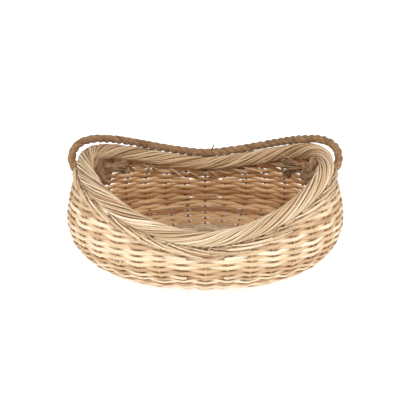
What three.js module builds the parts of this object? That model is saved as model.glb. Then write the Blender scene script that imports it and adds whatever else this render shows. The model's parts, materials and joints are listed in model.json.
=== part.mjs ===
// An oval willow fruit basket with a rope bail handle. Millimetres, +Z up.
// The long axis lies along X, the origin is the centre of the underside, and the handle lies back on the +Y rim.
import * as THREE from "three";

// Driving dimensions
const BELLY = { x: 216, y: 151.5 }; // outermost half-sizes of the wall
const BASE_EDGE = { x: 163, y: 106 }; // middle of the wall where it leaves the base
const WALL_TOP = { x: 191, y: 144 }; // middle of the wall under the border
const BORDER = { x: 181.5, y: 141.5 }; // centreline of the rolled border
const OVAL_POWER = 2.12; // 2 is an ellipse, more is squarer
const BASE_RISE = 7; // height of the wall's middle at the base edge
const BELLY_HEIGHT = { side: 66, end: 75 };
const WALL_HEIGHT = { side: 87.5, end: 151.5 };
const BORDER_HEIGHT = { side: 103, end: 165 };
const BORDER_RADIUS = { side: 11, end: 12.5 };
const BORDER_SIDES = 10;
const SADDLE_POWER = 1.75; // how late the rim rises towards the ends
const BELLY_SHARE = { side: 0.75, end: 0.52 }; // share of the wall's course that lies below the belly
const UPSET_ANGLE = THREE.MathUtils.degToRad(40); // slope of the wall as it leaves the base

const STAKES = 34;
const STAKE_RADIUS = 2;
const STAKE_SIDES = 5;
const STAKE_STEPS = 12;

const ROWS = 11;
const ROWS_FROM = 0.02;
const ROWS_TO = 0.98;
const ROW_FILL = 0.9; // share of the pitch between rows that a row fills
const ROW_HALF_THICK = 1.5;
const ROW_SWING = 4.2; // how far a row stands off the stakes' centre
const HANDLE_DIP = 0.065; // share by which the rows part below the rope
const HANDLE_DIP_POWER = 24;
const HOLE_ANGLE = 0.045; // how far round from the end, in radians, a rope hole lies
const WALL_HALF_THICK = ROW_SWING + ROW_HALF_THICK;

const BASE_THICK = 5;
const BASE_GAP = 2.5; // from the wall's middle to the base's edge
const BASE_STICK_RADIUS = 2;
const LONG_STICKS = 3;
const SHORT_STICKS = 5;
const LONG_STICK_PITCH = 9;
const SHORT_STICK_PITCH = 36;
const STICK_INSET = 8; // from a stick's end to the edge of the base
const STICK_SIDES = 8;
const CLEARANCE = 0.3;

const ROPE_RADIUS = 6.6;
const ROPE_SIDES = 10;
const ROPE_STEPS = 76;
const HANDLE_AXIS = { y: 7, z: 145 }; // the holes lie a little behind the middle of each end
const KNOT_CENTRE = { x: 163, y: 7, z: 139 };
const KNOT_SIZE = { x: 15, y: 15, z: 18 }; // half-sizes
const KNOT_SEGMENTS = { round: 14, up: 10 };
const ROPE_GAP = 0.5; // between a knot and the end of the bail
const TAIL_LENGTH = 30;
const TAIL_GAP = 2; // between a knot and its frayed end
const TAIL_SIDES = 10;
const TAIL_RADIUS = { knot: 8, end: 13 };
const TAIL_LEAN = { back: 0.3, up: 0.18 };

// Rope route from the right hole to the middle of the back rim; the left half mirrors it.
const ROPE_HALF_ROUTE = [
  [KNOT_CENTRE.x + KNOT_SIZE.x + ROPE_GAP, HANDLE_AXIS.y, HANDLE_AXIS.z],
  [187, HANDLE_AXIS.y, HANDLE_AXIS.z],
  [194, 8, 145.8],
  [200, 11.5, 150.5],
  [204, 18.5, 158.5],
  [204, 28, 166.5],
  [200, 39, 172.5],
  [191, 51, 176.2],
  [175, 65, 175.6],
  [150, 87, 166.8],
  [120, 111.8, 152.6],
  [85, 130, 138.2],
  [45, 140.7, 126.7],
  [0, 143.4, 120.9],
];

const COLOURS = {
  willow: 0xe2c196,
  stake: 0xd6b080,
  stick: 0xcfa873,
  border: 0xe8caa0,
  rope: 0x94765a,
};

const basket = new THREE.Group();
const handle = new THREE.Group();
const assembly = new THREE.Group();
assembly.add(basket, handle);

// A signed power keeps each quarter of the oval in its own quadrant.
function signedPower(value, power) {
  return Math.sign(value) * Math.abs(value) ** power;
}

// A point of an oval with the given half-sizes.
function ovalPoint(angle, half) {
  const power = 2 / OVAL_POWER;
  return new THREE.Vector2(
    half.x * signedPower(Math.cos(angle), power),
    half.y * signedPower(Math.sin(angle), power),
  );
}

// 0 in the middle of the long sides and 1 at the ends, as the saddle-shaped rim rises.
function saddle(angle) {
  return Math.abs(Math.cos(angle)) ** ((2 / OVAL_POWER) * SADDLE_POWER);
}

function alongSaddle(range, angle) {
  return range.side + (range.end - range.side) * saddle(angle);
}

// The middle of the wall's thickness: share is 0 at the base edge and 1 under the border.
function wallPoint(angle, share) {
  const belly = { x: BELLY.x - WALL_HALF_THICK, y: BELLY.y - WALL_HALF_THICK };
  const bellyHeight = alongSaddle(BELLY_HEIGHT, angle);
  const topHeight = alongSaddle(WALL_HEIGHT, angle);
  const bellyShare = alongSaddle(BELLY_SHARE, angle);
  const half = {};
  let height;
  if (share < bellyShare) {
    const turn = UPSET_ANGLE + (Math.PI / 2 - UPSET_ANGLE) * (share / bellyShare);
    const reach = (Math.sin(turn) - Math.sin(UPSET_ANGLE)) / (1 - Math.sin(UPSET_ANGLE));
    const rise = (Math.cos(UPSET_ANGLE) - Math.cos(turn)) / Math.cos(UPSET_ANGLE);
    half.x = BASE_EDGE.x + (belly.x - BASE_EDGE.x) * reach;
    half.y = BASE_EDGE.y + (belly.y - BASE_EDGE.y) * reach;
    height = BASE_RISE + (bellyHeight - BASE_RISE) * rise;
  } else {
    const rise = (share - bellyShare) / (1 - bellyShare);
    half.x = belly.x + (WALL_TOP.x - belly.x) * rise ** 2;
    half.y = belly.y + (WALL_TOP.y - belly.y) * rise ** 2;
    height = bellyHeight + (topHeight - bellyHeight) * rise;
  }
  const plan = ovalPoint(angle, half);
  return new THREE.Vector3(plan.x, plan.y, height);
}

// The wall's outward normal, from two short steps along the surface.
function wallNormal(angle, share) {
  const step = 1e-3;
  const round = wallPoint(angle + step, share).sub(wallPoint(angle - step, share));
  const up = wallPoint(angle, share + step).sub(wallPoint(angle, share - step));
  return round.cross(up).normalize();
}

// Angles that part the belly oval into equal lengths, starting at the +X end.
function equalAngles(count) {
  const fine = 3600;
  const lengths = [0];
  for (let i = 1; i <= fine; i++) {
    const a = ovalPoint((2 * Math.PI * (i - 1)) / fine, BELLY);
    const b = ovalPoint((2 * Math.PI * i) / fine, BELLY);
    lengths.push(lengths[i - 1] + a.distanceTo(b));
  }
  const angles = [];
  let i = 0;
  for (let k = 0; k < count; k++) {
    const wanted = (lengths[fine] * k) / count;
    while (lengths[i + 1] < wanted) i++;
    const part = (wanted - lengths[i]) / (lengths[i + 1] - lengths[i]);
    angles.push((2 * Math.PI * (i + part)) / fine);
  }
  return angles;
}

// Two angles to each stake: odd ones at the stakes, even ones halfway between them.
const ANGLES = equalAngles(2 * STAKES);

function material(colour) {
  return new THREE.MeshStandardMaterial({ color: colour, roughness: 0.75, metalness: 0 });
}

function addPiece(group, name, geometry, colour) {
  const mesh = new THREE.Mesh(geometry, material(colour));
  mesh.name = name;
  group.add(mesh);
  return mesh;
}

// A closed ring: a torus whose rings of vertices are placed by place(ring index, angle round the section).
function placedRing(rings, sides, place) {
  const geometry = new THREE.TorusGeometry(2, 1, sides, rings);
  const position = geometry.getAttribute("position");
  for (let side = 0; side <= sides; side++) {
    for (let ring = 0; ring <= rings; ring++) {
      const point = place(ring % rings, (2 * Math.PI * (side % sides)) / sides);
      position.setXYZ(side * (rings + 1) + ring, point.x, point.y, point.z);
    }
  }
  return geometry;
}

function roundSection(radius, sides) {
  const corners = [];
  for (let i = 0; i < sides; i++) {
    const turn = (2 * Math.PI * i) / sides;
    corners.push(new THREE.Vector2(radius * Math.cos(turn), radius * Math.sin(turn)));
  }
  return new THREE.Shape(corners);
}

function sweep(points, radius, sides, steps) {
  const path = new THREE.CatmullRomCurve3(points, false, "centripetal");
  return new THREE.ExtrudeGeometry(roundSection(radius, sides), {
    steps,
    extrudePath: path,
    bevelEnabled: false,
  });
}

// Upright stakes, from the base edge to just under the border
function addStakes() {
  for (let i = 0; i < STAKES; i++) {
    const points = [];
    for (let k = 0; k <= STAKE_STEPS; k++) {
      points.push(wallPoint(ANGLES[2 * i + 1], k / STAKE_STEPS));
    }
    const name = "stake_" + String(i + 1).padStart(2, "0");
    addPiece(basket, name, sweep(points, STAKE_RADIUS, STAKE_SIDES, STAKE_STEPS), COLOURS.stake);
  }
}

// Rows of weaving: each is one closed band that passes in front of one stake and behind the next.
function addRows() {
  const pitch = (ROWS_TO - ROWS_FROM) / ROWS;
  for (let row = 0; row < ROWS; row++) {
    const centre = ROWS_FROM + pitch * (row + 0.5);
    const geometry = placedRing(2 * STAKES, 4, (ring, turn) => {
      const angle = ANGLES[ring];
      const fromHole = Math.atan2(Math.sin(angle), Math.abs(Math.cos(angle))) - HOLE_ANGLE;
      const dip = 1 - HANDLE_DIP * centre * Math.cos(fromHole) ** HANDLE_DIP_POWER;
      const corner = turn + Math.PI / 4;
      const across = Math.SQRT2 * Math.sin(corner) * 0.5 * pitch * ROW_FILL;
      const share = (centre + across) * dip;
      const stake = (ring - 1) / 2;
      const side = ring % 2 === 0 ? 0 : (stake + row) % 2 === 0 ? 1 : -1;
      const outward = ROW_SWING * side + Math.SQRT2 * Math.cos(corner) * ROW_HALF_THICK;
      return wallPoint(angle, share).addScaledVector(wallNormal(angle, share), outward);
    });
    const name = "weaver_row_" + String(row + 1).padStart(2, "0");
    addPiece(basket, name, geometry, COLOURS.willow);
  }
}

// Rolled border: a thick ring whose centreline rises towards the ends
function borderPoint(angle) {
  const plan = ovalPoint(angle, BORDER);
  return new THREE.Vector3(plan.x, plan.y, alongSaddle(BORDER_HEIGHT, angle));
}

function addBorder() {
  const geometry = placedRing(2 * STAKES, BORDER_SIDES, (ring, turn) => {
    const angle = ANGLES[ring];
    const step = 1e-3;
    const along = borderPoint(angle + step).sub(borderPoint(angle - step)).normalize();
    const outward = along.clone().cross(new THREE.Vector3(0, 0, 1)).normalize();
    const up = outward.clone().cross(along);
    const radius = alongSaddle(BORDER_RADIUS, angle);
    return borderPoint(angle)
      .addScaledVector(outward, radius * Math.cos(turn))
      .addScaledVector(up, radius * Math.sin(turn));
  });
  addPiece(basket, "rim_border", geometry, COLOURS.border);
}

// Base: an oval disc of weaving with short sticks across it and long sticks along it
function addBase() {
  const edge = { x: BASE_EDGE.x - BASE_GAP, y: BASE_EDGE.y - BASE_GAP };
  const round = BASE_THICK / edge.x / 2;
  const profile = [
    new THREE.Vector2(0, 0),
    new THREE.Vector2(0.5, 0),
    new THREE.Vector2(1 - round, 0),
    new THREE.Vector2(1, BASE_THICK / 2),
    new THREE.Vector2(1 - round, BASE_THICK),
    new THREE.Vector2(0.5, BASE_THICK),
    new THREE.Vector2(0, BASE_THICK),
  ];
  const disc = new THREE.LatheGeometry(profile, 2 * STAKES);
  disc.rotateX(Math.PI / 2);
  const position = disc.getAttribute("position");
  for (let i = 0; i < position.count; i++) {
    const reach = Math.hypot(position.getX(i), position.getY(i));
    const angle = Math.atan2(position.getY(i), position.getX(i));
    const plan = ovalPoint(angle, { x: edge.x * reach, y: edge.y * reach });
    position.setXYZ(i, plan.x, plan.y, position.getZ(i));
  }
  addPiece(basket, "base_weave", disc, COLOURS.willow);

  const shortZ = BASE_THICK + CLEARANCE + BASE_STICK_RADIUS;
  const longZ = shortZ + CLEARANCE + 2 * BASE_STICK_RADIUS;
  for (let i = 0; i < SHORT_STICKS; i++) {
    const x = (i - (SHORT_STICKS - 1) / 2) * SHORT_STICK_PITCH;
    const reach = edge.y * (1 - Math.abs(x / edge.x) ** OVAL_POWER) ** (1 / OVAL_POWER) - STICK_INSET;
    const stick = new THREE.CylinderGeometry(BASE_STICK_RADIUS, BASE_STICK_RADIUS, 2 * reach, STICK_SIDES);
    addPiece(basket, "base_stick_short_" + (i + 1), stick, COLOURS.stick).position.set(x, 0, shortZ);
  }
  for (let i = 0; i < LONG_STICKS; i++) {
    const y = (i - (LONG_STICKS - 1) / 2) * LONG_STICK_PITCH;
    const reach = edge.x * (1 - Math.abs(y / edge.y) ** OVAL_POWER) ** (1 / OVAL_POWER) - STICK_INSET;
    const stick = new THREE.CylinderGeometry(BASE_STICK_RADIUS, BASE_STICK_RADIUS, 2 * reach, STICK_SIDES);
    stick.rotateZ(Math.PI / 2);
    addPiece(basket, "base_stick_long_" + (i + 1), stick, COLOURS.stick).position.set(0, y, longZ);
  }
}

// Rope bail, and the knots and frayed ends that hold it inside the wall
function addRope() {
  const right = ROPE_HALF_ROUTE.map(([x, y, z]) => new THREE.Vector3(x, y, z));
  const left = ROPE_HALF_ROUTE.slice(0, -1).map(([x, y, z]) => new THREE.Vector3(-x, y, z));
  const route = [...right, ...left.reverse()];
  addPiece(handle, "rope_handle", sweep(route, ROPE_RADIUS, ROPE_SIDES, ROPE_STEPS), COLOURS.rope);

  for (const [name, side] of [["right", 1], ["left", -1]]) {
    const knot = new THREE.SphereGeometry(1, KNOT_SEGMENTS.round, KNOT_SEGMENTS.up);
    knot.scale(KNOT_SIZE.x, KNOT_SIZE.y, KNOT_SIZE.z);
    addPiece(basket, "knot_" + name, knot, COLOURS.rope).position.set(
      side * KNOT_CENTRE.x,
      KNOT_CENTRE.y,
      KNOT_CENTRE.z,
    );

    const tail = new THREE.CylinderGeometry(TAIL_RADIUS.end, TAIL_RADIUS.knot, TAIL_LENGTH, TAIL_SIDES);
    tail.translate(0, TAIL_LENGTH / 2 + KNOT_SIZE.x + TAIL_GAP, 0);
    const lean = new THREE.Vector3(-side, TAIL_LEAN.back, TAIL_LEAN.up).normalize();
    const end = addPiece(basket, "frayed_end_" + name, tail, COLOURS.rope);
    end.quaternion.setFromUnitVectors(new THREE.Vector3(0, 1, 0), lean);
    end.position.set(side * KNOT_CENTRE.x, KNOT_CENTRE.y, KNOT_CENTRE.z);
  }
}

addBase();
addStakes();
addRows();
addBorder();
addRope();

export default assembly;
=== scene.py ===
import json
import math

import bpy
import numpy as np
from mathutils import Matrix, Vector


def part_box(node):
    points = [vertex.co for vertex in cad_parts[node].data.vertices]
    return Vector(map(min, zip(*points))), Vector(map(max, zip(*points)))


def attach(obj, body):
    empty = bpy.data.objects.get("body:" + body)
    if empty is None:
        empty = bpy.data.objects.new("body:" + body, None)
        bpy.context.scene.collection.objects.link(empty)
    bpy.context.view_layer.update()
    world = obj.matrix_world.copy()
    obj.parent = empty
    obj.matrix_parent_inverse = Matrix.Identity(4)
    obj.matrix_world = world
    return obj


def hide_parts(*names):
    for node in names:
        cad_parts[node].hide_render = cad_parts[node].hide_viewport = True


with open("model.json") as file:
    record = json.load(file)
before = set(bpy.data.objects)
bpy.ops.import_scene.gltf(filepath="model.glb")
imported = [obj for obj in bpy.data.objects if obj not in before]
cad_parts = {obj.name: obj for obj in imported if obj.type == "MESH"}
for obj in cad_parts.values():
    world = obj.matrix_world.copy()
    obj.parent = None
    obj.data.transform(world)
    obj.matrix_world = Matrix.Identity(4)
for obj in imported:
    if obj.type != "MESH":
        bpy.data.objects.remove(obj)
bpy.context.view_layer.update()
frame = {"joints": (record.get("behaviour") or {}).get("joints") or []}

MM = 0.001
TAU = 2 * math.pi
rng = np.random.default_rng(7)

# ---------------------------------------------------------------- sizes
# The part's own driving dimensions, and after them what the frame gives
OVAL_POWER = 2.12
SADDLE_POWER = 1.75
# Where a size changes round the basket, its two values are for the middle of a long side and for an end.
BELLY_SHARE = (0.75, 0.52)  # the belly's share of the way up the wall
UPSET_ANGLE = math.radians(40)
STAKES = 34
CAD_ROWS = 11
STAKE_RADIUS = 2 * MM
WALL_HALF_THICK = 5.7 * MM
ROWS_FROM, ROWS_TO = 0.02, 0.98
BORDER_RADIUS = (11 * MM, 12.5 * MM)
BELLY_HEIGHT = (66 * MM, 75 * MM)
WALL_UNDER_BORDER = (15.5 * MM, 13.5 * MM)  # from the border's centreline down to the wall's top
WALL_TOP_INSET = (18.0 * MM, 1.8 * MM)  # from the belly's middle to the wall's top, along X and Y
BASE_GAP = 2.5 * MM
BASE_RISE = 7 * MM

row_boxes = [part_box(f"weaver_row_{i + 1:02d}") for i in range(CAD_ROWS)]
belly = np.array([max(hi[k] for lo, hi in row_boxes) - WALL_HALF_THICK for k in (0, 1)])
base_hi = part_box("base_weave")[1]
base_edge = np.array([base_hi.x, base_hi.y])
wall_foot = base_edge + BASE_GAP
wall_top = belly - np.array(WALL_TOP_INSET)
border_lo, border_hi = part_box("rim_border")
border_half = np.array([border_hi.x - BORDER_RADIUS[1], border_hi.y - BORDER_RADIUS[0]])
border_height = (border_lo.z + BORDER_RADIUS[0], border_hi.z - BORDER_RADIUS[1])
wall_height = tuple(h - d for h, d in zip(border_height, WALL_UNDER_BORDER))
hole = frame["joints"][0]["pos_m"]  # on the axis that the rope bail swings about


# ---------------------------------------------------------------- the basket's surfaces
def oval(angle, half):
    """Points of ovals with half-sizes half (..., 2), at the given angles."""
    power = 2 / OVAL_POWER
    c, s = np.cos(angle), np.sin(angle)
    x = half[..., 0] * np.sign(c) * np.abs(c) ** power
    y = half[..., 1] * np.sign(s) * np.abs(s) ** power
    return np.stack([x, y], -1)


def saddle(angle):
    """0 in the middle of the long sides and 1 at the ends."""
    return np.abs(np.cos(angle)) ** (2 / OVAL_POWER * SADDLE_POWER)


def along_saddle(pair, angle):
    return pair[0] + (pair[1] - pair[0]) * saddle(angle)


def wall_point(angle, share):
    """The middle of the wall's thickness: share is 0 at the base edge and 1 under the border."""
    angle, share = np.broadcast_arrays(np.asarray(angle, float), np.asarray(share, float))
    belly_share = along_saddle(BELLY_SHARE, angle)
    low = np.clip(share / belly_share, -0.2, 1)
    turn = UPSET_ANGLE + (math.pi / 2 - UPSET_ANGLE) * low
    reach = (np.sin(turn) - math.sin(UPSET_ANGLE)) / (1 - math.sin(UPSET_ANGLE))
    rise = (math.cos(UPSET_ANGLE) - np.cos(turn)) / math.cos(UPSET_ANGLE)
    high = np.clip((share - belly_share) / (1 - belly_share), 0, 1.5)
    half = wall_foot + (belly - wall_foot) * reach[..., None]
    half = half + (wall_top - belly) * (high**2)[..., None]
    belly_z = along_saddle(BELLY_HEIGHT, angle)
    top_z = along_saddle(wall_height, angle)
    z = BASE_RISE + (belly_z - BASE_RISE) * rise + (top_z - belly_z) * high
    return np.concatenate([oval(angle, half), z[..., None]], -1)


SHORT_STEP = 1e-3  # for slopes, in radians or in shares of the wall


def unit(v):
    return v / np.maximum(np.linalg.norm(v, axis=-1, keepdims=True), 1e-12)


def wall_normal(angle, share):
    """The way out of the wall, from two short steps along it."""
    around = wall_point(angle + SHORT_STEP, share) - wall_point(angle - SHORT_STEP, share)
    up = wall_point(angle, share + SHORT_STEP) - wall_point(angle, share - SHORT_STEP)
    return unit(np.cross(around, up))


def border_frame(angle):
    """Centre, outward and upward directions and radius of the rolled border."""

    def centre(a):
        plan = oval(a, np.broadcast_to(border_half, a.shape + (2,)))
        return np.concatenate([plan, along_saddle(border_height, a)[..., None]], -1)

    along = unit(centre(angle + SHORT_STEP) - centre(angle - SHORT_STEP))
    out = unit(np.cross(along, [0, 0, 1]))
    return centre(angle), out, np.cross(out, along), along_saddle(BORDER_RADIUS, angle)


def running_length(points):
    """The length along the points, up to each one."""
    return np.r_[0, np.cumsum(np.linalg.norm(np.diff(points, axis=0), axis=1))]


fine = np.linspace(0, TAU, 7201)
fine_length = running_length(oval(fine, np.broadcast_to(belly, fine.shape + (2,))))


def stake_angle(p):
    """The angle at p stake pitches round the belly from the +X end; stake i stands at p = i + 0.5."""
    turns, part = np.divmod(np.asarray(p, float), STAKES)
    return turns * TAU + np.interp(part / STAKES * fine_length[-1], fine_length, fine)


PITCH = fine_length[-1] / STAKES

# Lengths up the wall, at 20 places to each stake pitch and at every hundredth of the way up
table_share = np.linspace(-0.05, 1.05, 111)
FOOT_COLUMN = 5  # where the share is 0
TOP_COLUMN = 105  # where the share is 1
table_p = np.linspace(0, STAKES, 20 * STAKES + 1)
profile = wall_point(stake_angle(table_p)[:, None], table_share[None])
profile_step = np.linalg.norm(np.diff(profile, axis=1), axis=2)
profile_length = np.concatenate([np.zeros((len(table_p), 1)), np.cumsum(profile_step, axis=1)], 1)
profile_length -= profile_length[:, [FOOT_COLUMN]]


def wall_length(p):
    """The length up the wall from the base edge to the top, p stake pitches round."""
    return np.interp(np.asarray(p) % STAKES, table_p, profile_length[:, TOP_COLUMN])


def share_at(p, length):
    """The share at which the way up the wall is the given length."""
    column = (np.asarray(p) % STAKES) / STAKES * (len(table_p) - 1)
    i = np.minimum(column.astype(int), len(table_p) - 2)
    f = column - i
    made = np.empty(len(column))
    for k in range(len(column)):
        row = profile_length[i[k]] * (1 - f[k]) + profile_length[i[k] + 1] * f[k]
        made[k] = np.interp(length[k], row, table_share)
    return made


def end_distance(p):
    """Stake pitches from the nearer end of the basket."""
    half = STAKES / 2
    near = np.asarray(p) % half
    return np.minimum(near, half - near)


def behind(p):
    """Stake pitches from the nearer end of the basket, counted towards the back."""
    p = np.asarray(p) % STAKES
    return np.where(p < STAKES / 4, p, np.where(p < 3 * STAKES / 4, STAKES / 2 - p, p - STAKES))


def from_hole(p):
    """Stake pitches from the rope's hole at the nearer end, counted towards the back."""
    return behind(p) - hole[1] / PITCH


# ---------------------------------------------------------------- mesh helpers
def smooth_noise(n, knots, amount, closed=False):
    """n values of a smooth random curve through the given number of knots."""
    values = rng.normal(0, amount, knots + 1)
    if closed:
        values[-1] = values[0]
    x = np.linspace(0, knots, n)
    i = np.minimum(x.astype(int), knots - 1)
    f = x - i
    f = f * f * (3 - 2 * f)
    return values[i] * (1 - f) + values[i + 1] * f


def carried_normals(tangent):
    """Normals carried along a line without twist."""
    v = np.array([0, 0, 1.0])
    if abs(tangent[0] @ v) > 0.95:
        v = np.array([1.0, 0, 0])
    normals = np.zeros_like(tangent)
    for i, t in enumerate(tangent):
        v = v - t * (v @ t)
        v = v / np.linalg.norm(v)
        normals[i] = v
    return normals


def frames(points):
    """Tangent and two normals at each point of an open line."""
    tangent = unit(np.gradient(points, axis=0))
    normal = carried_normals(tangent)
    return tangent, normal, np.cross(tangent, normal)


def closed_frames(points):
    """The same for a closed line, where the turn between the first frame and the last is shared out."""
    tangent = unit(np.roll(points, -1, 0) - np.roll(points, 1, 0))
    normal = carried_normals(tangent)
    side = np.cross(tangent[0], normal[0])
    twist = math.atan2(normal[-1] @ side, normal[-1] @ normal[0])
    a = -twist * np.arange(len(points)) / len(points)
    normal = normal * np.cos(a)[:, None] + np.cross(tangent, normal) * np.sin(a)[:, None]
    return tangent, normal, np.cross(tangent, normal)


class Tubes:
    """Gathers tubes into one mesh, with point attributes for the materials.

    grain_length and grain_turn are the places along a tube and round it, and tone is its own shade.
    inner is high where the surface faces the inside of the basket, and hollow where it is deep in the weave;
    the willow material paints shade where they are high.
    """

    def __init__(self):
        self.co = []
        self.faces = []
        self.values = {key: [] for key in ("grain_length", "grain_turn", "tone", "inner", "hollow")}
        self.count = 0

    def add(
        self,
        points,
        radius,
        sides=8,
        closed=False,
        tone=0.5,
        shape=None,
        outward=None,
        flatten=1.0,
        depth=0.0,
    ):
        """A tube along points.

        shape(turns) scales the radius round the section, as an (n, sides) array.
        outward is the way out of the basket at each point, for the painted shade of the side that faces in.
        flatten is the thickness along outward, as a share of the radius.
        depth is the place in the wall, from -1 on the inside to 1 on the outside; with inner it sets the
        painted shade deep in the weave.
        """
        points = np.asarray(points, float)
        n = len(points)
        radius = np.broadcast_to(np.asarray(radius, float), (n,))
        normal, binormal = (closed_frames(points) if closed else frames(points))[1:]
        turns = np.arange(sides) / sides * TAU
        scale = np.ones((n, sides)) if shape is None else shape(turns)
        ring = normal[:, None] * np.cos(turns)[:, None] + binormal[:, None] * np.sin(turns)[:, None]
        if flatten != 1.0:  # as much taller across outward as it is thinner along it
            through = (ring * outward[:, None]).sum(-1, keepdims=True) * outward[:, None]
            ring = (ring - through) * (2 - flatten) + through * flatten
        co = points[:, None] + ring * (radius[:, None] * scale)[..., None]
        self.co.append(co.reshape(-1, 3))
        inner = np.zeros((n, sides)) if outward is None else -(ring * outward[:, None]).sum(-1)
        own_grain = rng.random() * 50  # so that no two tubes have the same grain
        self.values["grain_length"].append(np.repeat(running_length(points), sides) + own_grain)
        self.values["grain_turn"].append(np.tile(turns / TAU, n))
        self.values["tone"].append(np.full(n * sides, tone))
        self.values["inner"].append(inner.reshape(-1))
        self.values["hollow"].append((inner * np.broadcast_to(depth, (n,))[:, None]).reshape(-1))
        base = self.count
        last = n if closed else n - 1
        i = np.arange(last)[:, None]
        j = np.arange(sides)[None]
        a = base + i * sides + j
        b = base + i * sides + (j + 1) % sides
        c = base + ((i + 1) % n) * sides + (j + 1) % sides
        d = base + ((i + 1) % n) * sides + j
        self.faces.extend(np.stack([a, b, c, d], -1).reshape(-1, 4).tolist())
        self.count += n * sides
        if not closed:
            self.faces.append(list(range(base + sides - 1, base - 1, -1)))
            end = base + (n - 1) * sides
            self.faces.append(list(range(end, end + sides)))

    def build(self, name, material, body, slot, *nodes):
        """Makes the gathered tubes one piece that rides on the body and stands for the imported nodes."""
        mesh = bpy.data.meshes.new(name)
        mesh.from_pydata(np.concatenate(self.co).tolist(), [], self.faces)
        for key, values in self.values.items():
            mesh.attributes.new(key, "FLOAT", "POINT").data.foreach_set("value", np.concatenate(values))
        mesh.polygons.foreach_set("use_smooth", [len(f) == 4 for f in self.faces])
        mesh.update()
        mesh.materials.append(material)
        piece = bpy.data.objects.new(name, mesh)
        bpy.context.scene.collection.objects.link(piece)
        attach(piece, body)
        if nodes:
            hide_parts(*nodes)
        return piece


def catmull(points, per_span):
    """A centripetal Catmull-Rom curve through the points."""
    p = np.asarray(points, float)
    p = np.vstack([2 * p[0] - p[1], p, 2 * p[-1] - p[-2]])
    made = []
    for k in range(1, len(p) - 2):
        t = np.r_[0, np.cumsum(np.linalg.norm(np.diff(p[k - 1:k + 3], axis=0), axis=1) ** 0.5)]
        u = np.linspace(t[1], t[2], per_span, endpoint=False)[:, None]
        a1 = (t[1] - u) / (t[1] - t[0]) * p[k - 1] + (u - t[0]) / (t[1] - t[0]) * p[k]
        a2 = (t[2] - u) / (t[2] - t[1]) * p[k] + (u - t[1]) / (t[2] - t[1]) * p[k + 1]
        a3 = (t[3] - u) / (t[3] - t[2]) * p[k + 1] + (u - t[2]) / (t[3] - t[2]) * p[k + 2]
        b1 = (t[2] - u) / (t[2] - t[0]) * a1 + (u - t[0]) / (t[2] - t[0]) * a2
        b2 = (t[3] - u) / (t[3] - t[1]) * a2 + (u - t[1]) / (t[3] - t[1]) * a3
        made.append((t[2] - u) / (t[2] - t[1]) * b1 + (u - t[1]) / (t[2] - t[1]) * b2)
    made.append(p[-2:-1])
    return np.vstack(made)


def resample(points, step):
    """Points on the same line, at equal steps of about the given length."""
    points = np.asarray(points, float)
    length = running_length(points)
    at = np.linspace(0, length[-1], max(2, int(round(length[-1] / step)) + 1))
    return np.stack([np.interp(at, length, points[:, k]) for k in range(3)], -1)


# ---------------------------------------------------------------- materials
def node_tree(name):
    material = bpy.data.materials.new(name)
    material.use_nodes = True
    tree = material.node_tree
    tree.nodes.clear()
    out = tree.nodes.new("ShaderNodeOutputMaterial")
    shader = tree.nodes.new("ShaderNodeBsdfPrincipled")
    tree.links.new(shader.outputs[0], out.inputs[0])
    return material, tree, shader


def connect(tree, socket, value):
    """Sets a socket to a number or a colour, or links it to another node's output."""
    if isinstance(value, (int, float)):
        socket.default_value = value
    elif isinstance(value, tuple):
        socket.default_value = (*value, 1)
    else:
        tree.links.new(value, socket)


def math_node(tree, operation, *values):
    node = tree.nodes.new("ShaderNodeMath")
    node.operation = operation
    for socket, value in zip(node.inputs, values):
        connect(tree, socket, value)
    return node.outputs[0]


def attribute(tree, name):
    node = tree.nodes.new("ShaderNodeAttribute")
    node.attribute_name = name
    return node.outputs["Fac"]


def scaled(tree, value, factor):
    return math_node(tree, "MULTIPLY", value, factor)


def total(tree, a, b):
    return math_node(tree, "ADD", a, b)


def combine(tree, *values):
    node = tree.nodes.new("ShaderNodeCombineXYZ")
    for socket, value in zip(node.inputs, values):
        connect(tree, socket, value)
    return node.outputs[0]


def noise(tree, vector, scale, detail=3.0, roughness=0.55):
    node = tree.nodes.new("ShaderNodeTexNoise")
    node.inputs["Scale"].default_value = scale
    node.inputs["Detail"].default_value = detail
    node.inputs["Roughness"].default_value = roughness
    tree.links.new(vector, node.inputs["Vector"])
    return node.outputs["Fac"]


def ramp(tree, value, stops):
    """Colours at rising positions along the value."""
    node = tree.nodes.new("ShaderNodeValToRGB")
    node.color_ramp.elements[0].position = stops[0][0]
    node.color_ramp.elements[0].color = (*stops[0][1], 1)
    node.color_ramp.elements[1].position = stops[-1][0]
    node.color_ramp.elements[1].color = (*stops[-1][1], 1)
    for position, colour in stops[1:-1]:
        node.color_ramp.elements.new(position).color = (*colour, 1)
    tree.links.new(value, node.inputs[0])
    return node.outputs[0]


def mix(tree, factor, a, b, blend="MIX"):
    node = tree.nodes.new("ShaderNodeMix")
    node.data_type = "RGBA"
    node.blend_type = blend
    node.clamp_result = True
    for socket, value in ((node.inputs[0], factor), (node.inputs[6], a), (node.inputs[7], b)):
        connect(tree, socket, value)
    return node.outputs[2]


def tinted(tree, factor, colour, tint):
    return mix(tree, factor, colour, mix(tree, 1.0, colour, tint, "MULTIPLY"))


def add_bump(tree, shader, height, strength, distance):
    bump = tree.nodes.new("ShaderNodeBump")
    bump.inputs["Strength"].default_value = strength
    bump.inputs["Distance"].default_value = distance
    tree.links.new(height, bump.inputs["Height"])
    tree.links.new(bump.outputs[0], shader.inputs["Normal"])


BLACK = (0, 0, 0)
WHITE = (1, 1, 1)
PAINTED_INSIDE_SHADE = (0.85, 0.60, 0.37)  # painted shade: the willow is darker and browner where it faces into the basket, whose inside gets little direct light
PAINTED_HOLLOW_SHADE = (0.55, 0.22, 0.055)  # painted shade deep in the weave, in the gaps between the rods
BUD_SCAR = (0.16, 0.075, 0.03)


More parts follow.
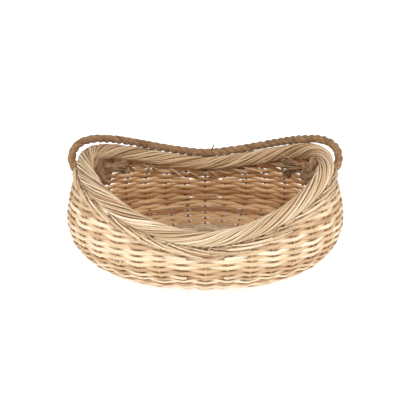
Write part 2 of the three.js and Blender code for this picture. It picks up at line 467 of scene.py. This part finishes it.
def willow(name, dark, mid, light, streak=0.35, roughness=0.36, inside=PAINTED_INSIDE_SHADE):
    """Peeled willow: each rod has its own tone, with grain along it, blotches, and a few dark bud scars;
    shade is painted on the sides that face into the basket and deep in the weave.
    """
    material, tree, shader = node_tree(name)
    length, turn, tone = (attribute(tree, n) for n in ("grain_length", "grain_turn", "tone"))
    angle = scaled(tree, turn, TAU)
    ring_x = math_node(tree, "COSINE", angle)
    ring_y = math_node(tree, "SINE", angle)
    fibre = noise(tree, combine(tree, ring_x, ring_y, scaled(tree, length, 14.0)), 3.2, 4.0, 0.6)
    blotch = noise(tree, combine(tree, scaled(tree, ring_x, 0.3), 0.0, scaled(tree, length, 22.0)), 1.3, 3.0)
    scar = noise(tree, combine(tree, ring_x, ring_y, scaled(tree, length, 60.0)), 1.1, 1.0)
    shade = total(tree, scaled(tree, tone, 0.62), scaled(tree, blotch, 0.42))
    shade = total(tree, shade, scaled(tree, math_node(tree, "SUBTRACT", fibre, 0.5), streak))
    colour = ramp(tree, shade, [(0.12, dark), (0.5, mid), (0.82, light)])
    spot = ramp(tree, scar, [(0.74, BLACK), (0.8, WHITE)])
    colour = mix(tree, scaled(tree, spot, 0.65), colour, BUD_SCAR)
    # painted shade: the sides that face into the basket get the inside tint
    inner = ramp(tree, attribute(tree, "inner"), [(0.0, BLACK), (0.75, WHITE)])
    colour = tinted(tree, inner, colour, inside)
    # painted shade: surfaces deep in the weave are darkened towards orange-brown
    hollow = ramp(tree, attribute(tree, "hollow"), [(0.62, BLACK), (0.96, WHITE)])
    colour = tinted(tree, hollow, colour, PAINTED_HOLLOW_SHADE)
    tree.links.new(colour, shader.inputs["Base Color"])
    rough = total(tree, scaled(tree, fibre, 0.22), roughness)
    tree.links.new(rough, shader.inputs["Roughness"])
    shader.inputs["Specular IOR Level"].default_value = 0.45
    add_bump(tree, shader, fibre, 0.35, 0.4 * MM)
    return material


def jute(name, dark, mid, light):
    """Brown jute: fine twisted yarns, with paler loose fibres."""
    material, tree, shader = node_tree(name)
    length, turn, tone = (attribute(tree, n) for n in ("grain_length", "grain_turn", "tone"))
    angle = scaled(tree, total(tree, turn, scaled(tree, length, 38.0)), TAU)
    ring_x = math_node(tree, "COSINE", angle)
    ring_y = math_node(tree, "SINE", angle)
    fibre = noise(tree, combine(tree, ring_x, ring_y, scaled(tree, length, 30.0)), 4.5, 5.0, 0.7)
    blotch = noise(tree, combine(tree, tone, 0.0, scaled(tree, length, 45.0)), 1.4, 3.0)
    shade = total(tree, scaled(tree, fibre, 0.75), scaled(tree, blotch, 0.25))
    shade = total(tree, shade, scaled(tree, math_node(tree, "SUBTRACT", tone, 0.5), 0.3))
    colour = ramp(tree, shade, [(0.3, dark), (0.52, mid), (0.75, light)])
    tree.links.new(colour, shader.inputs["Base Color"])
    shader.inputs["Roughness"].default_value = 0.85
    shader.inputs["Specular IOR Level"].default_value = 0.25
    shader.inputs["Sheen Weight"].default_value = 0.25
    shader.inputs["Sheen Roughness"].default_value = 0.4
    add_bump(tree, shader, fibre, 0.6, 0.6 * MM)
    return material


WEAVE = willow("willow_weave", (0.29, 0.135, 0.05), (0.60, 0.43, 0.255), (0.76, 0.64, 0.48))
STAKE = willow("willow_stake", (0.22, 0.095, 0.035), (0.46, 0.275, 0.13), (0.66, 0.48, 0.30))
# painted shade for the border's sides that face into the basket, lighter than the wall's
PAINTED_BORDER_INSIDE_SHADE = (0.96, 0.86, 0.75)
BORDER = willow(
    "willow_border", (0.27, 0.14, 0.06), (0.54, 0.39, 0.235), (0.72, 0.585, 0.43), inside=PAINTED_BORDER_INSIDE_SHADE
)
JUTE = jute("jute_rope", (0.068, 0.029, 0.011), (0.26, 0.145, 0.067), (0.53, 0.365, 0.205))


# ---------------------------------------------------------------- camera
CAMERA_ELEVATION = math.radians(25)
CAMERA_DISTANCE = 1.75
CAMERA_LENS = 98.2
AIM = Vector((0.004, 0, 0.087))


def add_camera():
    data = bpy.data.cameras.new("camera")
    data.lens = CAMERA_LENS
    data.sensor_width = 36
    camera = bpy.data.objects.new("camera", data)
    back = Vector((0, -math.cos(CAMERA_ELEVATION), math.sin(CAMERA_ELEVATION)))
    camera.location = AIM + back * CAMERA_DISTANCE
    camera.rotation_mode = "QUATERNION"
    camera.rotation_quaternion = (-back).to_track_quat("-Z", "Y")
    bpy.context.scene.collection.objects.link(camera)
    bpy.context.scene.camera = camera


# ---------------------------------------------------------------- rope
ROPE_RADIUS = 6.6 * MM
ROPE_STEP = 1.2 * MM  # between two points along the rope
STRAND_RADIUS = 3.6 * MM
STRAND_OFFSET = 3.05 * MM
ROPE_LEAD = 38 * MM  # length in which a strand goes once round
LOOSE_THREAD_RADIUS = 1.15 * MM

# From the right hole to the middle of the back rim, in millimetres; the left half mirrors it.
ROPE_HALF_ROUTE = [
    (178.5, 7, 145),
    (187, 7, 145),
    (194, 8, 145.8),
    (200, 11.5, 150.5),
    (204, 18.5, 158.5),
    (204, 28, 166.5),
    (200, 39, 172.5),
    (191, 51, 176.2),
    (175, 65, 175.6),
    (150, 87, 166.8),
    (120, 111.8, 152.6),
    (85, 130, 138.2),
    (45, 140.7, 126.7),
    (0, 143.4, 120.9),
]


def rope_path():
    right = np.array(ROPE_HALF_ROUTE, float) * MM
    left = right[-2::-1] * [-1, 1, 1]
    return resample(catmull(np.vstack([right, left]), 24), ROPE_STEP)


def yarn_shape(length, yarns=7, depth=0.09, lead=21 * MM):
    """A strand's section: small yarns that twist against the rope's lay."""

    def shape(turns):
        phase = yarns * (turns[None] + TAU * length[:, None] / lead)
        return 1 - depth + depth * np.abs(np.cos(phase / 2)) ** 0.7

    return shape


def lay_rope(tubes, points, radius_scale=1.0, sides=18):
    """Three twisted strands along the points."""
    _, normal, side = frames(points)
    n = len(points)
    length = running_length(points)
    radius_scale = np.broadcast_to(radius_scale, (n,))
    for k in range(3):
        wander = smooth_noise(n, max(2, int(length[-1] / (30 * MM))), 0.12)
        turn = TAU * (length / ROPE_LEAD + k / 3) + wander
        offset = (STRAND_OFFSET * radius_scale)[:, None]
        line = points + offset * (normal * np.cos(turn)[:, None] + side * np.sin(turn)[:, None])
        uneven = smooth_noise(n, max(2, int(length[-1] / (20 * MM))), 0.035)
        radius = STRAND_RADIUS * radius_scale * (1 + uneven)
        tubes.add(line, radius, sides, tone=rng.uniform(0.35, 0.65), shape=yarn_shape(length))


def add_fuzz(tubes, points, count, reach=(2.5, 7), radius=0.09, surface=ROPE_RADIUS):
    """Loose fibres that stand off the rope; reach and radius are in millimetres."""
    tangent, normal, side = frames(points)
    for i in rng.integers(0, len(points), count):
        turn = rng.uniform(0, TAU)
        out = normal[i] * math.cos(turn) + side[i] * math.sin(turn)
        across = np.cross(tangent[i], out)
        size = rng.uniform(*reach) * MM
        along = rng.choice([-1, 1]) * rng.uniform(0.5, 1.2)
        bend = rng.uniform(-0.8, 0.8)
        s = np.linspace(0, 1, 5)[:, None]
        lift = surface * 0.82 + np.sin(s * 1.6) * size * 0.35
        line = points[i] + out * lift + tangent[i] * s * size * along + across * s**2 * size * bend
        tubes.add(line, radius * MM * np.linspace(1, 0.35, 5), 3, tone=rng.uniform(0.6, 1.0))


def add_rope():
    points = rope_path()
    tubes = Tubes()
    lay_rope(tubes, points)
    add_fuzz(tubes, points, 420)
    # A dark thread that stands up beside the middle of the back rim
    s = np.linspace(0, 1, 9)[:, None]
    foot = points[len(points) // 2] + np.array([9, -3, 5]) * MM
    loose = foot + s * np.array([3, 0, 10.5]) * MM + np.sin(s * 2.6) * np.array([1.6, 0, 0]) * MM
    thread = Tubes()
    thread.add(loose, LOOSE_THREAD_RADIUS * np.linspace(1, 0.7, 9), 8, tone=-0.6)
    thread.build("loose_thread", JUTE, "handle", "jute_rope")
    piece = tubes.build("rope_bail", JUTE, "handle", "jute_rope", "rope_handle")
    length = float(np.linalg.norm(np.diff(points, axis=0), axis=1).sum())
    return length


# The turns of the right knot about its middle, in millimetres: in from the hole, round, and out as the tail
KNOT_ROUTE = [
    (16, 0, 6),
    (7, 1, 3),
    (-3, 2, -2),
    (-9, 5, -10),
    (-5, 9, -13),
    (3, 11, -5),
    (7, 9, 7),
    (5, 2, 14),
    (3, -8, 12),
    (2, -12, 1),
    (-1, -9, -11),
    (-5, -1, -13),
    (-9, 4, -5),
    (-11, 4, 3),
    (-15, 3, 3),
]
KNOT_INLET = 187 * MM  # from the basket's middle to where the rope comes in through the wall


def add_knots():
    for name, side in (("right", 1), ("left", -1)):
        tubes = Tubes()
        lo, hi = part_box("knot_" + name)
        centre = np.array((lo + hi) / 2) + np.array([-side * 2, 3, 7]) * MM
        inlet = np.array([side * KNOT_INLET, hole[1], hole[2]])
        turns = np.array(KNOT_ROUTE, float) * [side, 1, 1] * MM
        points = resample(catmull(np.vstack([inlet, centre + turns]), 16), ROPE_STEP)
        # The rope swells where the knot's turns are no longer pulled tight.
        swell = np.interp(np.arange(len(points)) * ROPE_STEP / MM, [0, 10, 24], [0.95, 0.95, 1.22])
        lay_rope(tubes, points, swell, sides=16)
        add_fuzz(tubes, points, 90, reach=(2, 5), surface=ROPE_RADIUS * 1.1)
        tubes.build("knot_" + name + "_rope", JUTE, "basket", "jute_rope", "knot_" + name)
        add_tail(name, side, points[-1])


TAIL_SPREAD = {"right": (23 * MM, 16 * MM), "left": (11 * MM, 9 * MM)}  # up and across, at the open end
TAIL_REACH = {"right": 29 * MM, "left": 25 * MM}
TAIL_START_RADIUS = 4.5 * MM
LOCKS = 21
LOCK_TURN = 0.382  # of a full turn from one lock to the next, which spaces them evenly
LOCK_FIBRES = 7


def add_tail(name, side, start):
    """The frayed end: the strands open into thick wavy locks of yarn with loose fibres between them."""
    lo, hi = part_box("frayed_end_" + name)
    end = np.array([lo.x if side > 0 else hi.x, (lo.y + hi.y) / 2 + 3 * MM, (lo.z + hi.z) / 2 + 1 * MM])
    axis = unit(end - start)
    across = unit(np.cross(axis, [0, 0, 1.0]))
    up = np.cross(across, axis)
    tubes = Tubes()
    s = np.linspace(0, 1, 22)
    up_end, across_end = TAIL_SPREAD[name]
    up_spread = TAIL_START_RADIUS + (up_end - TAIL_START_RADIUS) * s**1.25
    across_spread = TAIL_START_RADIUS + (across_end - TAIL_START_RADIUS) * s**1.25
    for k in range(LOCKS):
        turn = TAU * (k * LOCK_TURN)
        ring = math.sqrt((k + 0.5) / LOCKS)
        size = TAIL_REACH[name] * rng.uniform(0.82, 1.08)
        off_up = up_spread * ring * math.sin(turn)
        off_across = across_spread * ring * math.cos(turn)
        phase = rng.uniform(0, TAU, 2)
        wiggle = rng.uniform(0.7, 1.5) * MM
        wave_up = wiggle * s * np.sin(TAU * 2.3 * s + phase[0])
        wave_across = wiggle * s * np.sin(TAU * 2.0 * s + phase[1])
        line = start + axis * (s * size)[:, None]
        line = line + across * (off_across + wave_across)[:, None] + up * (off_up + wave_up)[:, None]
        line[:, 2] -= 2 * MM * s**2
        tone = rng.uniform(0.1, 0.65)
        thick = rng.uniform(1.25, 1.8) * MM * np.interp(s, [0, 0.5, 1], [1, 1.05, 0.7])
        twist = yarn_shape(running_length(line), yarns=4, depth=0.16, lead=12 * MM)
        tubes.add(line, thick, 12, tone=tone, shape=twist)
        for _ in range(LOCK_FIBRES):
            a = rng.uniform(0, TAU)
            stand = (thick + 0.15 * MM) * (1 + 0.5 * s**3)
            fibre = line + across * (stand * np.cos(a + 5 * s))[:, None]
            fibre = fibre + up * (stand * np.sin(a + 5 * s))[:, None]
            fibre = fibre + axis * (rng.uniform(0, 4) * MM * s)[:, None]
            tubes.add(fibre[2:], rng.uniform(0.14, 0.3) * MM, 4, tone=rng.uniform(0.4, 1.0))
    tubes.build("frayed_end_" + name + "_yarns", JUTE, "basket", "jute_rope", "frayed_end_" + name)


# ---------------------------------------------------------------- weave
ROD_PITCH = 4.9 * MM
ROD_RADIUS = 2.4 * MM
ROD_FLATTEN = 0.71  # a rod's thickness through the wall, as a share of its diameter
ROD_SWING = (STAKE_RADIUS + ROD_RADIUS) * 0.56  # how far a rod stands off the stakes' centre
BEND_SHARPNESS = 0.96  # 0 is a smooth wave, and 1 is straight from stake to stake with a corner at each
SAMPLES = 12  # points on a rod from one stake to the next
# The rods from the base up: 0 goes all the way round, and 1 is a short one packed in round each end.
ROD_ORDER = [0] * 9 + [1] * 2 + [0] * 6 + [1] * 2 + [0] * 4 + [1] * 10
PACKING_LENGTHS = (7.5, 6.5)  # half-lengths of the lower two pairs, in stake pitches
HANDLE_DIP = 14.5 * MM  # by which the top rods bend down below the rope
HANDLE_DIP_WIDTH = 0.42  # in stake pitches
FOOT_MARGIN = -1.0 * MM  # the lowest rod starts this far above the base edge
TOP_MARGIN = -4.5 * MM  # the highest rod ends this far below the wall's top, and so runs up into the border


def rod_half_lengths():
    """How far each rod reaches from the end of the basket, in stake pitches; None for all the way round."""
    room = wall_length(np.linspace(0, STAKES / 4, 60)) / ROD_PITCH
    lengths = []
    placed = 0
    for k, short in enumerate(ROD_ORDER):
        if not short:
            lengths.append(None)
            continue
        if placed < 2 * len(PACKING_LENGTHS):
            reach = PACKING_LENGTHS[placed // 2]
        else:
            fits = np.flatnonzero(room >= k + 0.6)
            reach = (fits[-1] if len(fits) else 0) / (len(room) - 1) * STAKES / 4
        placed += 1
        # It ends on the inside of a stake.
        reach = max(0, math.floor(reach)) + 0.5
        inside = math.sin(math.pi * reach) * (-1) ** k < 0
        lengths.append(reach if inside else reach + 1)
    return lengths


def add_wall():
    """The rods of the wall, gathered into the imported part's rows by their height."""
    groups = [Tubes() for _ in range(CAD_ROWS)]
    n = STAKES * SAMPLES
    lengths = rod_half_lengths()

    def heights(p):
        """The length up the wall to each rod of ROD_ORDER: they share out the room where they run."""
        near = end_distance(p)
        weights = np.ones((len(ROD_ORDER), len(p)))
        for k, reach in enumerate(lengths):
            if reach is not None:
                f = np.clip(reach + 0.7 - near, 0, 1)
                weights[k] = f * f * (3 - 2 * f)
        dip = HANDLE_DIP * np.exp(-((from_hole(p) / HANDLE_DIP_WIDTH) ** 2))
        room = wall_length(p) - FOOT_MARGIN - TOP_MARGIN - dip
        up = np.cumsum(weights, 0) - weights / 2
        return FOOT_MARGIN + room * up / weights.sum(0)

    for k, reach in enumerate(lengths):
        if reach is None:
            pieces = [np.arange(n) / SAMPLES]
        else:
            count = int(round(2 * reach * SAMPLES)) + 5
            side = np.linspace(-reach - 2 / SAMPLES, reach + 2 / SAMPLES, count)
            pieces = [side, side + STAKES / 2]
        for p in pieces:
            m = len(p)
            closed = reach is None
            wave = np.sin(math.pi * p) * (-1) ** k
            length = heights(p)[k] + smooth_noise(m, max(4, m // 16), 0.15 * MM, closed=closed)
            bends = np.arcsin(wave * BEND_SHARPNESS) / math.asin(BEND_SHARPNESS)
            offset = bends * ROD_SWING + smooth_noise(m, max(4, m // 9), 0.14 * MM, closed=closed)
            share = share_at(p, length)
            angle = stake_angle(p)
            normal = wall_normal(angle, share)
            line = wall_point(angle, share) + normal * offset[:, None]
            thickness = ROD_RADIUS * rng.uniform(0.93, 1.05)
            radius = thickness * (1 + smooth_noise(m, max(3, m // 30), 0.04, closed=closed))
            row = (share.mean() - ROWS_FROM) / (ROWS_TO - ROWS_FROM) * CAD_ROWS
            groups[int(np.clip(row, 0, CAD_ROWS - 1))].add(
                line,
                radius,
                closed=closed,
                tone=rng.normal(0.5, 0.27),
                outward=normal,
                flatten=ROD_FLATTEN,
                depth=offset / ROD_SWING,
            )
    for i, tubes in enumerate(groups):
        tubes.build(f"wall_rods_{i + 1:02d}", WEAVE, "basket", "willow_weave", f"weaver_row_{i + 1:02d}")


def add_stakes():
    for i in range(STAKES):
        share = np.linspace(-0.03, 1.02, 60)
        angle = np.full(60, stake_angle(i + 0.5)) + smooth_noise(60, 5, 0.004)
        out = wall_normal(angle, share)
        radius = STAKE_RADIUS * rng.uniform(1.08, 1.2)
        tubes = Tubes()
        tubes.add(wall_point(angle, share), radius, tone=rng.normal(0.3, 0.15), outward=out)
        tubes.build(f"stake_rod_{i + 1:02d}", STAKE, "basket", "willow_stake", f"stake_{i + 1:02d}")


# ---------------------------------------------------------------- border
STRANDS_AT_STAKE = 3
STRAND_PITCH = 0.3  # between the strands of one stake, in stake pitches
WRAP_PITCHES = 5.7  # stake pitches that a strand covers while it goes round the border
WRAP_FROM = -66  # degrees round the border, from its outer side
WRAP_TURN = 318
BORDER_ROD = 1.42 * MM
BORDER_CORE_INSET = 3.2 * MM
TAIL_PITCHES = 1.9  # length of a cut end on the outside of the wall, in stake pitches
TAIL_DROP = 7.5 * MM
INNER_END_SHARE = 0.65  # how many of the inner round's ends are seen


def on_wall(p, below, stand):
    """Points at distances below the wall's top, standing off its middle."""
    angle = stake_angle(p)
    share = share_at(p, wall_length(p) - below)
    return wall_point(angle, share) + wall_normal(angle, share) * stand[:, None]


def add_border_strands(tubes):
    for k in range(STRANDS_AT_STAKE * STAKES):
        stake, place = divmod(k, STRANDS_AT_STAKE)
        p0 = stake + 0.5 + STRAND_PITCH * place + rng.normal(0, 0.035)
        rod = BORDER_ROD * rng.uniform(0.88, 1.06)
        v = np.linspace(0, 1, 110)
        turn = np.radians(WRAP_FROM + WRAP_TURN * v) + smooth_noise(110, 6, 0.055)
        p = p0 + 0.35 + WRAP_PITCHES * v
        centre, out, up, radius = border_frame(stake_angle(p))
        depth = radius - rod + smooth_noise(110, 7, 0.35 * MM) + rng.normal(0, 0.3 * MM)
        wrap = centre + out * (depth * np.cos(turn))[:, None] + up * (depth * np.sin(turn))[:, None]
        # Before the wrap the strand comes up beside its stake and leaves the wall towards the outside.
        w = np.linspace(0, 1, 4)[:-1]
        rise = on_wall(p0 + 0.04 + 0.2 * w, (7 - 7.5 * w) * MM, (0.3 + 3.2 * w) * MM)
        # After it, the cut end comes out under the border and lies on the outside of the wall.
        u = np.linspace(0, 1, 12)
        tail_length = TAIL_PITCHES * rng.uniform(0.8, 1.12)
        begin = p[-1] + 0.28
        below = (-2.6 * MM + 2.4 * MM * place) + TAIL_DROP * u * tail_length / TAIL_PITCHES
        lift = 3.2 + 1.6 * rng.random()
        stand = (2.4 + lift * np.clip(u * 3.5, 0, 1)) * MM + smooth_noise(12, 3, 0.3 * MM)
        tail = on_wall(begin + tail_length * u, below, stand)
        line = resample(catmull(np.vstack([rise, wrap[::6], tail]), 8), 3.0 * MM)
        bearing = np.arctan2(line[:, 1] / border_half[1], line[:, 0] / border_half[0])
        outward = np.stack([np.cos(bearing), np.sin(bearing), 0 * bearing], -1) / [*border_half, 1]
        thin = np.interp(np.linspace(0, 1, len(line)), [0, 0.7, 1], [1, 1, 0.84])
        tubes.add(line, rod * thin, tone=rng.normal(0.55, 0.26), outward=unit(outward))


def add_inner_ends(tubes):
    """Ends of the border's inner round, pushed down inside the wall, except beside the rope's holes."""
    for k in range(2 * STAKES):
        if rng.random() < 1 - INNER_END_SHARE:
            continue
        u = np.linspace(0, 1, 9)
        begin = k / 2 + rng.uniform(-0.2, 0.2)
        if min(abs(from_hole(begin)), abs(from_hole(begin - 0.6))) < 1.1:
            continue
        below = (-4 + rng.uniform(9, 16) * u) * MM
        stand = -(3.6 + 2.6 * np.clip(3 * u, 0, 1)) * MM + smooth_noise(9, 3, 0.3 * MM)
        line = resample(catmull(on_wall(begin - rng.uniform(0.5, 0.95) * u, below, stand), 6), 2.5 * MM)
        out = unit(line * [1 / border_half[0] ** 2, 1 / border_half[1] ** 2, 0])
        tubes.add(line, rng.uniform(1.5, 1.85) * MM, tone=rng.normal(0.3, 0.2), outward=out)


def add_border():
    tubes = Tubes()
    centre, _, _, radius = border_frame(stake_angle(np.arange(8 * STAKES) / 8))
    tubes.add(centre, radius - BORDER_CORE_INSET, 10, closed=True, tone=0.0)
    add_border_strands(tubes)
    add_inner_ends(tubes)
    tubes.build("rolled_border", BORDER, "basket", "willow_border", "rim_border")


# ---------------------------------------------------------------- base
BASE_RINGS = 22
BASE_ROD = 1.95 * MM
BASE_MIDDLE_Z = 6.2 * MM
BASE_SWING = 3.9 * MM
LONG_STICKS = 3
SHORT_STICKS = 5
LONG_STICK_RADIUS = 2.1 * MM
SHORT_STICK_RADIUS = 2.5 * MM
BASE_RING_POINTS = 420
WRAP_PITCH = 3.9 * MM  # between the turns wrapped round the long sticks
WRAP_ROD = 1.85 * MM
WRAP_HALF_HEIGHT = 4.0 * MM
WRAP_CLEAR = 3.4 * MM  # a turn nearer than this to a short stick is left out


def add_stick(kind, number, x, y, radius):
    """One base stick along the points (x, y)."""
    line = np.stack([x, y, np.full(len(x), BASE_MIDDLE_Z)], -1)
    tubes = Tubes()
    tubes.add(line, radius, 10, tone=rng.normal(0.4, 0.1))
    tubes.build(f"{kind}_stick_{number}", STAKE, "basket", "base_stick", f"base_stick_{kind}_{number}")


def across_oval(at, half_along, half_across):
    """Half the width of an oval at a distance from its middle."""
    return half_across * max(0.0, 1 - abs(at / half_along) ** OVAL_POWER) ** (1 / OVAL_POWER)


def add_base_ring(tubes, k, half, short_x, long_y):
    """An oval rod with the given half-sizes that passes over one stick and under the next."""
    marks = []
    for sign in (1, -1):
        marks += [math.atan2(sign * across_oval(x, half[0], half[1]), x) % TAU for x in short_x]
        marks += [math.atan2(y, sign * across_oval(y, half[1], half[0])) % TAU for y in long_y]
    marks = np.sort(marks)
    wrapped = np.r_[marks[-1] - TAU, marks, marks[0] + TAU]
    t = np.arange(BASE_RING_POINTS) / BASE_RING_POINTS * TAU
    plan = oval(t, np.broadcast_to(half, (BASE_RING_POINTS, 2)))
    bearing = np.arctan2(plan[:, 1], plan[:, 0]) % TAU
    phase = np.interp(bearing, wrapped, np.arange(len(wrapped)) - 0.5)
    wave = np.sin(math.pi * phase) * (-1) ** k
    z = BASE_MIDDLE_Z + BASE_SWING * np.sign(wave) * np.abs(wave) ** 0.8
    line = np.concatenate([plan, z[:, None]], -1)
    tubes.add(line, BASE_ROD * rng.uniform(0.9, 1.03), closed=True, tone=rng.normal(0.5, 0.18))


def add_stick_wrapping(tubes, short_x, long_y):
    """Turns of a rod round the long sticks, between the short ones."""
    width = max(long_y) + 4.4 * MM
    a = np.arange(20) / 20 * TAU
    for x in np.arange(min(short_x) - 4 * MM, max(short_x) + 4 * MM, WRAP_PITCH):
        if min(abs(x - s) for s in short_x) < WRAP_CLEAR:
            continue
        z = BASE_MIDDLE_Z + WRAP_HALF_HEIGHT * np.sin(a)
        ring = np.stack([x + 1.6 * MM * a / TAU, width * np.cos(a), z], -1)
        tubes.add(ring, WRAP_ROD, closed=True, tone=rng.normal(0.5, 0.18))


def add_base():
    long_y = []
    for number in range(1, LONG_STICKS + 1):
        lo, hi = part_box(f"base_stick_long_{number}")
        long_y.append((lo.y + hi.y) / 2)
        y = long_y[-1] + smooth_noise(40, 4, 0.4 * MM)
        add_stick("long", number, np.linspace(lo.x, hi.x, 40), y, LONG_STICK_RADIUS)
    short_x = []
    for number in range(1, SHORT_STICKS + 1):
        lo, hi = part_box(f"base_stick_short_{number}")
        short_x.append((lo.x + hi.x) / 2)
        x = short_x[-1] + smooth_noise(30, 4, 0.4 * MM)
        add_stick("short", number, x, np.linspace(lo.y, hi.y, 30), SHORT_STICK_RADIUS)
    inner = np.array([max(short_x) + 6 * MM, max(long_y) + 6 * MM])
    outer = base_edge - BASE_ROD + 0.8 * MM
    tubes = Tubes()
    for k in range(BASE_RINGS):
        half = inner + (outer - inner) * (k / (BASE_RINGS - 1))
        add_base_ring(tubes, k, half, short_x, long_y)
    add_stick_wrapping(tubes, short_x, long_y)
    tubes.build("base_rods", WEAVE, "basket", "willow_weave", "base_weave")


# ---------------------------------------------------------------- floor and light
FLOOR_HALF = 6.0


def add_floor():
    mesh = bpy.data.meshes.new("floor")
    corners = [(x * FLOOR_HALF, y * FLOOR_HALF, 0) for x, y in ((-1, -1), (1, -1), (1, 1), (-1, 1))]
    mesh.from_pydata(corners, [], [(0, 1, 2, 3)])
    material, _, shader = node_tree("floor")
    shader.inputs["Base Color"].default_value = (0.86, 0.86, 0.86, 1)
    shader.inputs["Roughness"].default_value = 0.75
    shader.inputs["Emission Color"].default_value = (1, 1, 1, 1)
    shader.inputs["Emission Strength"].default_value = 0.66
    mesh.materials.append(material)
    floor = bpy.data.objects.new("floor", mesh)
    bpy.context.scene.collection.objects.link(floor)


def add_area(name, location, target, size, power, colour=(1, 1, 1)):
    data = bpy.data.lights.new(name, "AREA")
    data.shape = "DISK"
    data.size = size
    data.energy = power
    data.color = colour
    light = bpy.data.objects.new(name, data)
    light.location = location
    light.rotation_mode = "QUATERNION"
    light.rotation_quaternion = (Vector(target) - Vector(location)).to_track_quat("-Z", "Y")
    bpy.context.scene.collection.objects.link(light)


def add_light():
    world = bpy.data.worlds.new("studio")
    world.use_nodes = True
    background = world.node_tree.nodes["Background"]
    background.inputs[0].default_value = (1.0, 0.9, 0.79, 1)
    background.inputs[1].default_value = 0.22
    bpy.context.scene.world = world
    add_area("front", (0.1, -2.1, 0.32), (0, 0, 0.08), 1.3, 12, (0.98, 0.995, 1.0))
    add_area("left", (-1.55, -0.55, 1.05), (0, 0, 0.12), 0.9, 14)
    add_area("right", (1.55, -0.55, 1.05), (0, 0, 0.12), 0.9, 11)
    add_area("back", (0, 2.0, 0.9), (0, 0, 0.08), 1.2, 7)
    add_area("top", (0.1, -1.1, 1.7), (0, 0, 0.08), 0.6, 25)


add_camera()
rope_length = add_rope()
add_knots()
add_wall()
add_stakes()
add_border()
add_base()
add_floor()
add_light()
bpy.context.scene.view_settings.view_transform = "Standard"
